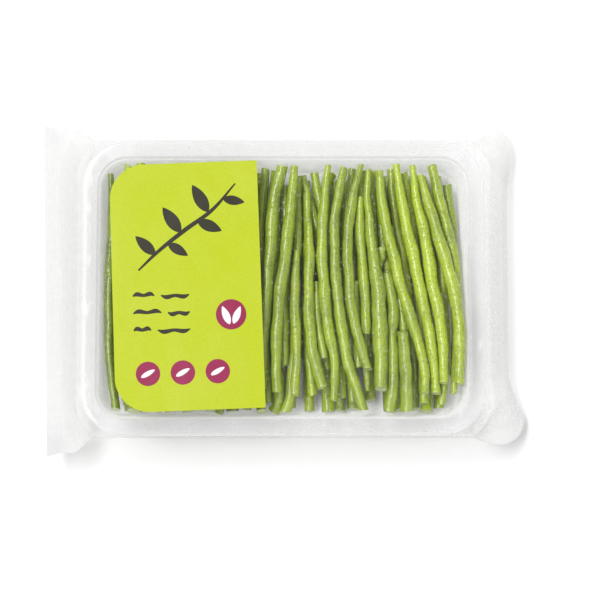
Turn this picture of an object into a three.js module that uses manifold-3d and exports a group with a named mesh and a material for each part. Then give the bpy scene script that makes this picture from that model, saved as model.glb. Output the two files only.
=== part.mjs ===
// A bundle of trimmed fine green beans in its sealed pack: a clear formed tray, a clear wrap of film
// round the tray, a label on the film, and the beans lying side by side in about three layers.
// Millimetres. +X runs along the pack, +Y across it, the way the beans lie, and +Z is up.
// The origin is the middle of the flat underside that the pack rests on.
import * as THREE from "three";
import { mergeVertices } from "three/addons/utils/BufferGeometryUtils.js";
import Module from "manifold-3d";

// Driving dimensions
const trayLength = 187;
const trayWidth = 137;
const trayHeight = 24;
const rimWidth = 7.6;
const rimCornerRadius = 21;
const rimLip = 2;
const rimEdge = 0.5;
const trayWall = 0.6;
const ledgeDepth = 3;
const ledgeWidth = 1;
const wallLean = 2.6;
const footWidth = 6;
const panelRise = 0.7;
const filmThickness = 0.3;
const clearance = 0.3;
const ventRadius = 2.5;
const labelWidth = 68.6;
const labelLength = 115;
const labelCornerRadius = 16;
const labelThickness = 0.3;
const labelTurn = THREE.MathUtils.degToRad(2.2);
const labelCentre = [-44.6, 0.5];
const beanClearance = 0.4;

// Heights and half sizes that follow from them
const trayBase = filmThickness + clearance;
const rimTop = trayBase + trayHeight;
const filmTop = rimTop + clearance + filmThickness;
const floorTop = trayBase + trayWall + panelRise;
const rimHalf = [trayLength / 2, trayWidth / 2];
const openingHalf = rimHalf.map((h) => h - rimWidth);
const ledgeHalf = openingHalf.map((h) => h - ledgeWidth);
const floorHalf = ledgeHalf.map((h) => h - wallLean);
const openingCorner = rimCornerRadius - rimWidth;
const ledgeCorner = openingCorner - ledgeWidth;
const floorCorner = ledgeCorner - wallLean;
const wallFoot = 2.2;

const wasm = await Module();
wasm.setup();

// Seeded random numbers in 0 to 1, so that every run lays the beans the same way.
let randomState = 20250;
function random() {
  randomState = (randomState * 1103515245 + 12345) % 2147483648;
  return randomState / 2147483648;
}
const between = (low, high) => low + (high - low) * random();

// Shared mesh helpers

// A closed mesh from rings with the same number of points each, and a cap of triangles at each end.
function skinRings(rings, cap = fanCap) {
  const count = rings[0].length;
  const positions = rings.flat().flatMap((p) => [p.x, p.y, p.z]);
  const faces = [];
  for (let r = 0; r + 1 < rings.length; r++) {
    for (let i = 0; i < count; i++) {
      const a = r * count + i;
      const b = r * count + ((i + 1) % count);
      faces.push(a, b, b + count, a, b + count, a + count);
    }
  }
  const last = (rings.length - 1) * count;
  for (const [a, b, c] of cap(count)) {
    faces.push(a, c, b);
    faces.push(last + a, last + b, last + c);
  }
  return closedGeometry(positions, faces);
}

function fanCap(count) {
  return Array.from({ length: count - 2 }, (_, i) => [0, i + 1, i + 2]);
}

function closedGeometry(positions, faces) {
  const geometry = new THREE.BufferGeometry();
  geometry.setAttribute("position", new THREE.Float32BufferAttribute(positions, 3));
  geometry.setIndex(faces);
  geometry.computeVertexNormals();
  return geometry;
}

function toSolid(geometry) {
  const bare = geometry.clone();
  bare.deleteAttribute("normal");
  bare.deleteAttribute("uv");
  const merged = mergeVertices(bare, 1e-4);
  return new wasm.Manifold(
    new wasm.Mesh({
      numProp: 3,
      vertProperties: new Float32Array(merged.attributes.position.array),
      triVerts: new Uint32Array(merged.index.array),
    }),
  );
}

function toGeometry(solid) {
  const mesh = solid.getMesh();
  return closedGeometry(Array.from(mesh.vertProperties), Array.from(mesh.triVerts));
}

function namedMesh(name, geometry, material) {
  const mesh = new THREE.Mesh(geometry, material);
  mesh.name = name;
  return mesh;
}

// A loop round a rectangle with rounded corners, counterclockwise seen from above.
function roundedLoop([halfX, halfY], radius, z, cornerSteps = 5) {
  const loop = [];
  const corners = [
    [1, 1, 0],
    [-1, 1, 1],
    [-1, -1, 2],
    [1, -1, 3],
  ];
  for (const [sx, sy, quarter] of corners) {
    for (let i = 0; i <= cornerSteps; i++) {
      const angle = ((quarter + i / cornerSteps) * Math.PI) / 2;
      loop.push(
        new THREE.Vector3(
          sx * (halfX - radius) + radius * Math.cos(angle),
          sy * (halfY - radius) + radius * Math.sin(angle),
          z,
        ),
      );
    }
  }
  return loop;
}

// Tray

// One skin of rings: out along the underside, up the outer wall, round the rim with its down-turned
// lip, then down the inner wall past the ledge and in along the floor.
function makeTray() {
  const grown = (half, by) => half.map((h) => h + by);
  const ledgeZ = rimTop - ledgeDepth;
  const floorZ = trayBase + trayWall;
  const foot = grown(floorHalf, -wallFoot);
  const panel = grown(floorHalf, -wallFoot - footWidth);
  const panelEdge = grown(panel, -panelRise);
  const footCorner = floorCorner - wallFoot / 2;
  const panelCorner = footCorner - 2;
  const rings = [
    roundedLoop(panelEdge, panelCorner, trayBase + panelRise),
    roundedLoop(panel, panelCorner, trayBase),
    roundedLoop(foot, footCorner, trayBase),
    roundedLoop(grown(floorHalf, trayWall), floorCorner + trayWall, trayBase + wallFoot),
    roundedLoop(grown(ledgeHalf, trayWall), ledgeCorner + trayWall, ledgeZ - trayWall),
    roundedLoop(grown(openingHalf, trayWall), openingCorner + trayWall, ledgeZ - trayWall),
    roundedLoop(grown(openingHalf, trayWall), openingCorner + trayWall, rimTop - trayWall),
    roundedLoop(grown(rimHalf, -trayWall), rimCornerRadius - trayWall, rimTop - trayWall),
    roundedLoop(grown(rimHalf, -trayWall), rimCornerRadius - trayWall, rimTop - rimLip),
    roundedLoop(rimHalf, rimCornerRadius, rimTop - rimLip),
    roundedLoop(rimHalf, rimCornerRadius, rimTop - rimEdge),
    roundedLoop(grown(rimHalf, -rimEdge), rimCornerRadius - rimEdge, rimTop),
    roundedLoop(openingHalf, openingCorner, rimTop),
    roundedLoop(openingHalf, openingCorner, ledgeZ),
    roundedLoop(ledgeHalf, ledgeCorner, ledgeZ),
    roundedLoop(floorHalf, floorCorner, floorZ + wallFoot),
    roundedLoop(foot, footCorner, floorZ),
    roundedLoop(panel, panelCorner, floorZ),
    roundedLoop(panelEdge, panelCorner, floorZ + panelRise),
  ];
  return skinRings(rings);
}

// Film

// The wrap is a tube of film. Each rib gives the tube at one place by its upper corner, the fold in its
// side and its lower corner, each [x, half width, z]. From the right end to the left one the tube goes
// from a pressed fin, opens round the tray, and is pressed flat again.
const filmSide = rimHalf[1] + clearance + filmThickness;
const filmEnd = rimHalf[0] + clearance + filmThickness;
const restHalf = [80, 59.5];
const foldZ = 18.5;
const leftFinZ = 16;
const leftFinSlant = 0.023;
const finThickness = 0.6;
const lowerEarOut = 6.2;
const lowerEarIn = 4.2;
const upperEarOut = 2.2;
const upperEarUp = 1.8;

const filmRibs = [
  { top: [105.4, 50, 6], fold: [106.3, 63.5, 6.2], base: [105, 50, 5.7] },
  { top: [104.2, 50, 9.4], fold: [104.6, 69.5, 8], base: [103.7, 50, 9.1] },
  { top: [102.4, 49, 14], fold: [101.2, 74, 10], base: [101.8, 49, 13.7] },
  { top: [100.2, 51, 18.4], fold: [97.6, 75.4, 12.4], base: [98.6, 50, 9.6] },
  { top: [97.4, 54, 22.4], fold: [94.4, 74, 14.4], base: [95.5, 53, 6.2] },
  { top: [filmEnd + 0.4, 58, filmTop], fold: [91.6, 71.8, 16.2], base: [91.5, 55.5, 4] },
  { top: [89.5, 66.5, filmTop], fold: [88.2, filmSide + 0.4, 17.5], base: [87, 57.5, 2] },
  { top: [84, filmSide, filmTop], fold: [84, filmSide, foldZ], base: [restHalf[0], restHalf[1], 0] },
  { top: [31, filmSide, filmTop], fold: [30, filmSide, foldZ], base: [29, restHalf[1], 0] },
  { top: [-25, filmSide, filmTop], fold: [-26, filmSide, foldZ], base: [-27, restHalf[1], 0] },
  { top: [-84, filmSide, filmTop], fold: [-84, filmSide, foldZ], base: [-restHalf[0], restHalf[1], 0] },
  { top: [-89.5, 66, filmTop], fold: [-88.5, 70.5, 18], base: [-86.5, 57.5, 4.6] },
  { top: [-filmEnd - 0.3, 58, filmTop], fold: [-92.5, 73.5, 17.2], base: [-91, 54, 8.2] },
  { top: [-97.6, 50, 21.8], fold: [-96.5, 76, 16.6], base: [-95.6, 49, 12.2] },
  { top: [-101.2, 46, 18], fold: [-100.5, 77, leftFinZ + 0.6], base: [-100.6, 46, 15.8] },
  { top: [-104, 46, leftFinZ + 0.6], fold: [-104, 77, leftFinZ + 0.3], base: [-104, 46, leftFinZ] },
  { top: [-110.8, 46, leftFinZ - 0.4], fold: [-110.8, 77.2, leftFinZ - 0.7], base: [-110.8, 46, leftFinZ - 1] },
];

// A closed loop of film at one rib, its corners cut by a small bevel, drawn in by a wall's thickness
// where it is the inside of the tube. The fold is a narrow edge, as thick as a pressed fin.
function filmLoop({ top, fold, base }, inset) {
  const bevel = 0.6;
  const [topX, topW, topZ] = [top[0], top[1] - inset, top[2] - inset];
  const [baseX, baseW, baseZ] = [base[0], base[1] - inset, base[2] + inset];
  const foldW = fold[1] - inset * 1.2;
  const foldHalf = finThickness / 2 - inset / 2;
  const drop = Math.min(bevel, (topZ - fold[2] - foldHalf) / 3);
  const rise = Math.min(bevel, (fold[2] - foldHalf - baseZ) / 3);
  const half = [
    [topX, topW * 0.3, topZ],
    [topX, topW * 0.65, topZ],
    [topX, topW - bevel, topZ],
    [topX, topW, topZ - Math.max(drop, 0)],
    [fold[0], foldW, fold[2] + foldHalf],
    [fold[0], foldW, fold[2] - foldHalf],
    [baseX, baseW, baseZ + Math.max(rise, 0)],
    [baseX, baseW - bevel, baseZ],
    [baseX, baseW * 0.65, baseZ],
    [baseX, baseW * 0.3, baseZ],
  ];
  const left = half.map(([x, y, z]) => new THREE.Vector3(x, y, z));
  const right = half.map(([x, y, z]) => new THREE.Vector3(x, -y, z)).reverse();
  return [...left, ...right].map(slantEnds);
}

// The left fin's edge slants, and of the two ears at the right end the lower one is drawn out further.
function slantEnds({ x, y, z }) {
  const ramp = (value) => THREE.MathUtils.clamp(value, 0, 1);
  const left = ramp((-x - 92) / 12);
  const right = ramp((x - 90) / 10);
  const lower = right * ramp((-y - 40) / 25);
  const upper = right * ramp((y - 40) / 25);
  return new THREE.Vector3(
    x - left * y * leftFinSlant + lower * lowerEarOut + upper * upperEarOut,
    y + lower * lowerEarIn + upper * upperEarUp,
    z,
  );
}

// The end of a film loop is closed by pairs of triangles between its upper and its lower sheet.
function sheetCap(count) {
  const half = count / 2;
  const upper = Array.from({ length: half }, (_, j) => (count - half / 2 + j) % count);
  const faces = [];
  for (let j = 0; j + 1 < half; j++) {
    const [a, b] = [upper[j], upper[j + 1]];
    const [c, d] = [a, b].map((i) => (count + half - 1 - i) % count);
    faces.push([b, d, c], [b, c, a]);
  }
  return faces;
}

// The sealed fins are solid: the hollow inside the tube stops short of each pressed fin.
function makeFilm() {
  const skin = (ribs, inset) => toSolid(skinRings(ribs.map((rib) => filmLoop(rib, inset)), sheetCap));
  const outside = skin(filmRibs, 0);
  const inside = skin(filmRibs.filter((rib) => rib.top[2] - rib.base[2] > 3), filmThickness);
  let film = outside.subtract(inside);
  for (const x of [-45, 45]) {
    for (const side of [1, -1]) {
      const punch = new THREE.CylinderGeometry(ventRadius, ventRadius, 8, 12);
      punch.translate(x, side * filmSide, foldZ - 4);
      film = film.subtract(toSolid(punch));
    }
  }
  return toGeometry(film);
}

// Label

// A sheet with its two left corners rounded, lying just clear of the film.
function makeLabel() {
  const [halfW, halfL] = [labelWidth / 2, labelLength / 2];
  const r = labelCornerRadius;
  const outline = new THREE.Shape();
  outline.moveTo(halfW, -halfL);
  outline.lineTo(halfW, halfL);
  outline.lineTo(-halfW + r, halfL);
  outline.absarc(-halfW + r, halfL - r, r, Math.PI / 2, Math.PI, false);
  outline.lineTo(-halfW, -halfL + r);
  outline.absarc(-halfW + r, -halfL + r, r, Math.PI, 1.5 * Math.PI, false);
  outline.closePath();
  const sheet = { depth: labelThickness, bevelEnabled: false, curveSegments: 8 };
  const geometry = new THREE.ExtrudeGeometry(outline, sheet);
  geometry.rotateZ(labelTurn);
  geometry.translate(labelCentre[0], labelCentre[1], filmTop + clearance);
  return geometry;
}

// Beans

// Heights of the bean centres in the lowest, middle and top layer.
const layerZ = [5.5, 11.8, 18.6];

// The beans that show from above. Each route runs [x, y] from the stem end to the tail, and the widths
// are spread evenly along it.
const seenBeans = [
  {
    layer: 2, widths: [5.2, 6.2, 5.6, 5],
    route: [[0.2, 59], [-2.5, 49.5], [-4.8, 38], [-5.6, 20], [-7, -2], [-8.6, -22], [-9.4, -46]],
  },
  {
    layer: 2, widths: [3.4, 5.6, 6, 6, 5.6, 4.8],
    route: [[5.1, 57.8], [3.2, 40], [1.2, 20], [-1.4, 3], [-3.2, -15], [-4.1, -27], [-3.2, -47.6]],
  },
  {
    layer: 2, widths: [2.6, 4.8, 5.2, 4.4, 4.8],
    route: [[6.4, 18], [5.5, 3], [5.3, -15], [6.2, -30], [5.1, -49.5]],
  },
  {
    layer: 2, widths: [3, 5.2, 5.2, 5.6, 6, 5.2],
    route: [[11.7, 32], [12, 17], [11.7, -1], [12.1, -17], [13.4, -30], [18.4, -46]],
  },
  {
    layer: 2, widths: [2.6, 4.8, 5.2, 5.5, 5.4, 4.4, 3.6],
    route: [[20.9, 58.3], [18.3, 36], [17.9, 17], [18.8, 0], [20.6, -17], [23.6, -34], [23.2, -52]],
  },
  {
    layer: 2, widths: [3.8, 5, 5, 5.6, 5.8, 5.4, 5.2],
    route: [[28.8, 57], [24.8, 41], [23.6, 20], [24.8, 1], [27.3, -21], [31, -39], [37.5, -56]],
  },
  {
    layer: 2, widths: [2.4, 4.6, 5, 4.8, 5.2, 4.4],
    route: [[36.6, 59.3], [31.7, 40], [29.9, 22], [30.6, 2], [33.2, -17], [39.1, -37.5]],
  },
  {
    layer: 2, widths: [2.6, 3.8, 5, 6.6, 7.7, 7.4, 5.6],
    route: [[39.6, 56], [39, 42], [40.6, 24], [43.4, 2], [44.5, -15], [44.5, -30], [44.9, -46.7]],
  },
  {
    layer: 2, widths: [4, 5.2, 5.8, 5.6, 5.6, 5, 4],
    route: [[44.4, 55.5], [46.2, 38], [50.4, 18], [56.6, -6], [61.8, -22], [65.4, -37], [65.6, -48.6]],
  },
  {
    layer: 2, widths: [3.2, 5, 5.8, 5.8, 5.6, 5.2, 4],
    route: [[52.4, 58.7], [54.8, 43], [58.8, 23], [62.8, 4], [66.8, -15], [70, -33], [71.3, -48.6]],
  },
  {
    layer: 2, widths: [3, 4.8, 6, 6, 5, 4],
    route: [[60.5, 57.8], [62.6, 41], [66.2, 22], [68.8, 3], [71.5, -12], [73, -30], [73, -44]],
  },
  {
    layer: 2, widths: [3.2, 5.2, 6.2, 6.4, 6, 5.6, 4.8],
    route: [[63.4, 53], [67.6, 38.5], [73, 21], [78.6, 3], [81.6, -17], [81.9, -34], [81, -44.4]],
  },
  {
    layer: 2, widths: [4.8, 5.4, 5.6, 5, 4.4, 3.4],
    route: [[69.2, 58.3], [73.4, 41], [78, 23], [81, 6], [82, -10], [80.6, -30], [78.9, -48.6]],
  },
  {
    layer: 1, widths: [4.2, 4.8, 4.6, 4.4],
    route: [[-8.5, 57.8], [-10.6, 34], [-10.4, 6], [-8.6, -28], [-7.4, -52]],
  },
  {
    layer: 1, widths: [3.8, 4.8, 4.6, 4.2],
    route: [[8.2, 54], [7.6, 36], [6, 14], [2.4, -6], [0.4, -34]],
  },
  {
    layer: 1, widths: [3.8, 4.4, 4.8, 4.6, 4.2],
    route: [[7.6, 55], [13.3, 40], [17, 22], [18.6, 0], [19.2, -20], [20, -36.5]],
  },
  {
    layer: 1, widths: [4, 4.6, 5, 4.6],
    route: [[12.7, 55.5], [16.4, 39], [21.5, 18], [24.6, -12], [27.8, -50.4]],
  },
  {
    layer: 1, widths: [3.6, 4.2, 4.6, 4.8, 3.2],
    route: [[37.6, 57], [35.8, 36], [36.2, 16], [37.6, -9], [38.6, -30], [38.9, -47]],
  },
  {
    layer: 1, widths: [4.2, 4.2, 4.6, 4.2, 2],
    route: [[49.5, 58.3], [50.8, 40], [53.6, 22], [57.4, 0], [59.6, -24], [62, -43]],
  },
  {
    layer: 1, widths: [3.8, 4.6, 5, 5, 5],
    route: [[55.9, 56], [59.3, 38], [62, 14], [63.4, -14], [64.6, -53]],
  },
  {
    layer: 1, widths: [4, 4.6, 5, 5, 4, 3.8],
    route: [[64.6, 54], [70.2, 38], [73.6, 14], [75.2, -12], [76.6, -34], [73.8, -53]],
  },
  {
    layer: 1, widths: [4.2, 4.8, 4.8, 4.2],
    route: [[76.8, 50.4], [79.4, 28], [80.8, 0], [80.4, -24], [78.8, -40]],
  },
  {
    layer: 1, widths: [4, 4.6, 4.8, 4.4],
    route: [[45.6, 50], [46.6, 28], [49.6, 3], [51.6, -17], [51.1, -38]],
  },
  {
    layer: 1, widths: [3.8, 4.6, 4.8, 5.2],
    route: [[50.6, 30], [54, 4], [56.6, -17], [56.9, -33], [55.5, -44.4]],
  },
  {
    layer: 1, widths: [3.4, 4.4, 3.8],
    route: [[0.6, 50], [1.6, 14], [1.4, -14], [0.8, -35.5]],
  },
  {
    layer: 1, widths: [4, 4.8, 5, 5],
    route: [[10.4, 46], [11.2, 10], [11, -24], [13.8, -49]],
  },
  {
    layer: 1, widths: [4, 4.8, 4.8, 4.2],
    route: [[32.4, 57.6], [29, 38], [28.6, 6], [29.8, -24], [31.2, -52]],
  },
  {
    layer: 2, widths: [2.6, 4.8, 5.2, 5.6, 5.2, 4.4],
    route: [[-82, 54], [-80.6, 36], [-81, 12], [-81.2, -12], [-80, -34], [-76.6, -56]],
  },
];

// Beans that the label and the upper layers hide are laid by rule: evenly spaced, each with its own
// small shift, slant, bow, length and width. The places listed as free are settled with the others, so
// that they keep room for one more bean each, but no bean is made there. The places listed as tall reach
// as far as the wall, past the label's upper edge.
function ruledBeans({ layer, count, fromX, toX, thinnest, thickest, free, tall = [] }) {
  const beans = [];
  for (let i = 0; i < count; i++) {
    const x = THREE.MathUtils.lerp(fromX, toX, i / (count - 1)) + between(-0.5, 0.5);
    const slant = between(-1.6, 1.6);
    const bow = between(-1, 1);
    const usualStemY = between(52, 57.5);
    const stemY = tall.includes(i) ? 59.5 : usualStemY;
    const tailY = -between(50, 57);
    const width = between(thinnest, thickest);
    beans.push({
      layer,
      isFree: free.includes(i),
      widths: [width * 0.76, width, width * 1.02, width * 0.97, width * 0.8],
      route: [
        [x + slant, stemY],
        [x + slant / 2 + bow * 0.75, stemY / 2],
        [x + bow, 0],
        [x - slant / 2 + bow * 0.75, tailY / 2],
        [x - slant, tailY],
      ],
    });
  }
  return beans;
}

const hiddenRows = [
  { layer: 2, count: 9, fromX: -74, toX: -16.5, thinnest: 5.8, thickest: 6.5, free: [2, 6], tall: [0, 1, 5] },
  { layer: 1, count: 9, fromX: -79, toX: -17, thinnest: 6, thickest: 6.8, free: [1, 4, 7] },
  { layer: 0, count: 22, fromX: -77.5, toX: 77.5, thinnest: 6, thickest: 6.7, free: [1, 5, 9, 13, 17, 20] },
];

const allBeans = [...seenBeans, ...hiddenRows.flatMap(ruledBeans)];

// Every bean crosses the same evenly spaced stations along Y, and is laid by its centre and radius at
// each of them.
const stationStep = 7.5;
const stations = Array.from({ length: 17 }, (_, k) => 60 - k * stationStep);
const stationReach = stationStep * (stations.length - 1);

function sampleList(list, t) {
  const at = THREE.MathUtils.clamp(t, 0, 1) * (list.length - 1);
  const i = Math.min(Math.floor(at), list.length - 2);
  return THREE.MathUtils.lerp(list[i], list[i + 1], at - i);
}

// The bean's centre line as x over y, carried on straight past both ends.
function routeX(points, y) {
  const curve = points.map(([x, py]) => ({ x, y: py }));
  if (y >= curve[0].y) return curve[0].x;
  for (let i = 0; i + 1 < curve.length; i++) {
    const [a, b] = [curve[i], curve[i + 1]];
    if (y >= b.y) {
      const before = curve[Math.max(i - 1, 0)];
      const after = curve[Math.min(i + 2, curve.length - 1)];
      const t = (a.y - y) / (a.y - b.y);
      const slopeA = ((b.x - before.x) / (before.y - b.y)) * (a.y - b.y);
      const slopeB = ((after.x - a.x) / (a.y - after.y)) * (a.y - b.y);
      const [t2, t3] = [t * t, t * t * t];
      return (
        (2 * t3 - 3 * t2 + 1) * a.x +
        (t3 - 2 * t2 + t) * slopeA +
        (3 * t2 - 2 * t3) * b.x +
        (t3 - t2) * slopeB
      );
    }
  }
  return curve[curve.length - 1].x;
}

function laidBean({ layer, widths, route }, seen) {
  const stemY = route[0][1];
  const tailY = route[route.length - 1][1];
  const aimX = stations.map((y) => routeX(route, y));
  const aimZ = stations.map((y) => layerZ[layer] + (seen ? 0 : 0.25 * Math.sin(y / 19 + aimX[0])));
  const radius = stations.map((y) => sampleList(widths, (stemY - y) / (stemY - tailY)) / 2);
  const near = (y) => y < stemY + stationStep && y > tailY - stationStep;
  return {
    stemY,
    tailY,
    seen,
    aimX,
    aimZ,
    radius,
    present: stations.map(near),
    x: [...aimX],
    z: [...aimZ],
  };
}

// Half the tray's inner length at a place along Y and a height, with its rounded corners and lean.
function innerHalfX(y, z) {
  const up = THREE.MathUtils.clamp((z - floorTop) / (rimTop - ledgeDepth - floorTop), 0, 1);
  const [halfX, halfY] = floorHalf.map((h) => h + wallLean * up);
  const corner = floorCorner + wallLean * up;
  const past = Math.min(Math.abs(y) - (halfY - corner), corner * 0.98);
  return past <= 0 ? halfX : halfX - corner + Math.sqrt(corner * corner - past * past);
}

// How far along Y a bean of this height and radius may reach before the wall, kept clear of it.
function innerHalfY(z, radius) {
  const low = z - radius;
  const up = THREE.MathUtils.clamp((low - floorTop) / (rimTop - ledgeDepth - floorTop), 0, 1);
  const foot = Math.max(0, wallFoot - (low - floorTop)) * 0.6;
  return floorHalf[1] + wallLean * up - foot - radius * 0.25 - beanClearance;
}

// Settles the beans. Each station is a slice through the bundle in which the beans are round. Slices
// push overlapping beans apart, each bean spreads its own shifts along its length, as a stiff stem
// does, and the tray's floor and walls and the film hold them in. Beans that show keep their route.
function settle(beans) {
  const rounds = 900;
  for (let round = 0; round < rounds; round++) {
    const pull = round < rounds * 0.6 ? 1 : 0.1;
    for (const bean of beans) {
      for (let k = 0; k < stations.length; k++) {
        bean.x[k] += (bean.aimX[k] - bean.x[k]) * (bean.seen ? 0.08 : 0.02) * pull;
        bean.z[k] += (bean.aimZ[k] - bean.z[k]) * 0.03 * pull;
      }
      for (const [place, aim] of [
        [bean.x, bean.aimX],
        [bean.z, bean.aimZ],
      ]) {
        const shift = place.map((v, k) => v - aim[k]);
        for (let k = 0; k < stations.length; k++) {
          const before = shift[Math.max(k - 1, 0)];
          const after = shift[Math.min(k + 1, stations.length - 1)];
          place[k] += 0.3 * ((before + after) / 2 - shift[k]);
        }
      }
    }
    for (let k = 0; k < stations.length; k++) {
      pushApart(beans, k);
      keepInside(beans, k);
    }
  }
}

function pushApart(beans, k) {
  for (let i = 0; i < beans.length; i++) {
    const a = beans[i];
    if (!a.present[k]) continue;
    for (let j = i + 1; j < beans.length; j++) {
      const b = beans[j];
      if (!b.present[k]) continue;
      const dx = b.x[k] - a.x[k];
      const dz = b.z[k] - a.z[k];
      const apart = Math.hypot(dx, dz) || 0.01;
      const need = (a.radius[k] + b.radius[k]) * 1.02 + beanClearance;
      if (apart >= need) continue;
      const move = (need - apart) / apart;
      const shareA = a.seen === b.seen ? 0.5 : a.seen ? 0.25 : 0.75;
      a.x[k] -= dx * move * shareA;
      a.z[k] -= dz * move * shareA;
      b.x[k] += dx * move * (1 - shareA);
      b.z[k] += dz * move * (1 - shareA);
    }
  }
}

function keepInside(beans, k) {
  for (const bean of beans) {
    if (!bean.present[k]) continue;
    const room = bean.radius[k] + beanClearance;
    const y = bean.seen ? THREE.MathUtils.clamp(stations[k], bean.tailY, bean.stemY) : stations[k];
    const limit = innerHalfX(y, bean.z[k] - bean.radius[k] / 2) - room;
    bean.x[k] = THREE.MathUtils.clamp(bean.x[k], -limit, limit);
    bean.z[k] = THREE.MathUtils.clamp(bean.z[k], floorTop + room, rimTop - room);
  }
}

// A bean is a round sweep along its settled centre line with cut ends. Seeds swell it a little, and
// each end is drawn in before the cut.
const beanSides = 8;
const beanRings = 10;

function makeBean(bean) {
  const points = stations.map((y, k) => new THREE.Vector3(bean.x[k], y, bean.z[k]));
  const pointAt = (y) => {
    const at = (stations[0] - y) / stationStep;
    const k = THREE.MathUtils.clamp(Math.floor(at), 0, stations.length - 2);
    return points[k].clone().lerp(points[k + 1], at - k);
  };
  const radiusAt = (y) => sampleList(bean.radius, (stations[0] - y) / stationReach);
  const reachAt = (y) => innerHalfY(pointAt(y).z, radiusAt(y));
  const stemY = Math.min(bean.stemY, reachAt(bean.stemY));
  const tailY = Math.max(bean.tailY, -reachAt(bean.tailY));
  const rings = [];
  for (let r = 0; r < beanRings; r++) {
    const y = THREE.MathUtils.lerp(stemY, tailY, r / (beanRings - 1));
    const centre = pointAt(y);
    const ahead = pointAt(y - 2).sub(pointAt(y + 2)).normalize();
    const side = new THREE.Vector3(0, 0, 1).cross(ahead).normalize();
    const up = ahead.clone().cross(side);
    const radius = radiusAt(y);
    const ring = [];
    for (let i = 0; i < beanSides; i++) {
      const angle = (2 * Math.PI * (i + 0.5)) / beanSides;
      ring.push(
        centre
          .clone()
          .addScaledVector(side, radius * Math.cos(angle))
          .addScaledVector(up, radius * Math.sin(angle)),
      );
    }
    rings.push(ring);
  }
  return skinRings(rings);
}

// Materials
const clearPlastic = (colour, opacity, roughness) =>
  new THREE.MeshStandardMaterial({ color: colour, roughness, metalness: 0, transparent: true, opacity });
const trayPlastic = clearPlastic(0xeef1f2, 0.3, 0.15);
const filmPlastic = clearPlastic(0xf6f7f8, 0.2, 0.2);
const labelPaper = new THREE.MeshStandardMaterial({ color: 0xd2e532, roughness: 0.45, metalness: 0 });
const beanGreens = [0x8fb23a, 0x9cc04a, 0x7fa238, 0xa6c840].map(
  (color) => new THREE.MeshStandardMaterial({ color, roughness: 0.5, metalness: 0 }),
);

// Assembly
const laidBeans = allBeans.map((bean, i) => laidBean(bean, i < seenBeans.length));
settle(laidBeans);
const beans = laidBeans.filter((bean, i) => !allBeans[i].isFree);

const pack = new THREE.Group();
pack.add(namedMesh("tray", makeTray(), trayPlastic));
pack.add(namedMesh("film", makeFilm(), filmPlastic));
pack.add(namedMesh("label", makeLabel(), labelPaper));
beans.forEach((bean, i) => {
  const name = `bean_${String(i + 1).padStart(2, "0")}`;
  pack.add(namedMesh(name, makeBean(bean), beanGreens[i % beanGreens.length]));
});

export default pack;
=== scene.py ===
import math
import time

import bpy
import numpy as np
from mathutils import Matrix, Vector


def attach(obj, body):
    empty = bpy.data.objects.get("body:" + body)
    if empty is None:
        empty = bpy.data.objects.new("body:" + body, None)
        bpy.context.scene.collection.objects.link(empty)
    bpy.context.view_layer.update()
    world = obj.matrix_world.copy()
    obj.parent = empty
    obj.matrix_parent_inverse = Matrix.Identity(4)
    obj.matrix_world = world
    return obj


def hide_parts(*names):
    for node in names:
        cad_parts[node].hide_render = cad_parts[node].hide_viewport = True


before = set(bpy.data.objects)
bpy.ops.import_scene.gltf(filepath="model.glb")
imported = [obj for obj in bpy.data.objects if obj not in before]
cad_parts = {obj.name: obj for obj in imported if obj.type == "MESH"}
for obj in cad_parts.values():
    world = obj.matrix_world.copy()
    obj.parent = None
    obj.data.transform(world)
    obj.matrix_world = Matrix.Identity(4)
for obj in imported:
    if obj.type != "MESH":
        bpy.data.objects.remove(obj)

startTime = time.time()
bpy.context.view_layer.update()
mm = 0.001


def report(text):
    print(f"{time.time() - startTime:5.1f} s  {text}")


# quads between neighbouring rings of one size, each ring closed on itself
def ringFaces(ringCount, ringSize, first=0):
    a = first + np.arange(ringCount - 1)[:, None] * ringSize + np.arange(ringSize)[None, :]
    b = np.roll(a, -1, axis=1)
    return np.stack([a, b, b + ringSize, a + ringSize], axis=-1).reshape(-1, 4)


# the sum of triple products is six times the volume, so its sign tells which way the faces look
def facesLookOut(points, faces):
    total = 0.0
    for face in faces:
        corner = points[list(face)]
        for i in range(1, len(face) - 1):
            total += np.dot(corner[0], np.cross(corner[i], corner[i + 1]))
    return total > 0


# points are (n, 3) in mm; values are per-point float attributes for the materials
def addPiece(name, points, faces, material, replaced=(), values=None, sharp=50):
    points = np.asarray(points, dtype=float)
    faces = [tuple(int(i) for i in face) for face in faces]
    if not facesLookOut(points, faces):
        faces = [face[::-1] for face in faces]
    mesh = bpy.data.meshes.new(name)
    mesh.from_pydata((points * mm).tolist(), [], faces)
    mesh.shade_smooth()
    mesh.set_sharp_from_angle(angle=math.radians(sharp))
    for key, array in (values or {}).items():
        attribute = mesh.attributes.new(key, "FLOAT", "POINT")
        attribute.data.foreach_set("value", np.asarray(array, dtype=np.float32))
    mesh.materials.append(material)
    piece = bpy.data.objects.new(name, mesh)
    bpy.context.scene.collection.objects.link(piece)
    if replaced:
        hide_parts(*replaced)
    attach(piece, "root")
    return piece


# Catmull-Rom curve through rows of values, read at fractional row numbers
def curveThrough(rows, at):
    rows = np.asarray(rows, dtype=float)
    at = np.clip(at, 0, len(rows) - 1)
    i = np.minimum(at.astype(int), len(rows) - 2)
    t = (at - i)[:, None]
    padded = np.vstack([2 * rows[0] - rows[1], rows, 2 * rows[-1] - rows[-2]])
    p0, p1, p2, p3 = padded[i], padded[i + 1], padded[i + 2], padded[i + 3]
    return 0.5 * (2 * p1 + (p2 - p0) * t + (2 * p0 - 5 * p1 + 4 * p2 - p3) * t**2
                  + (3 * p1 - p0 - 3 * p2 + p3) * t**3)


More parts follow.
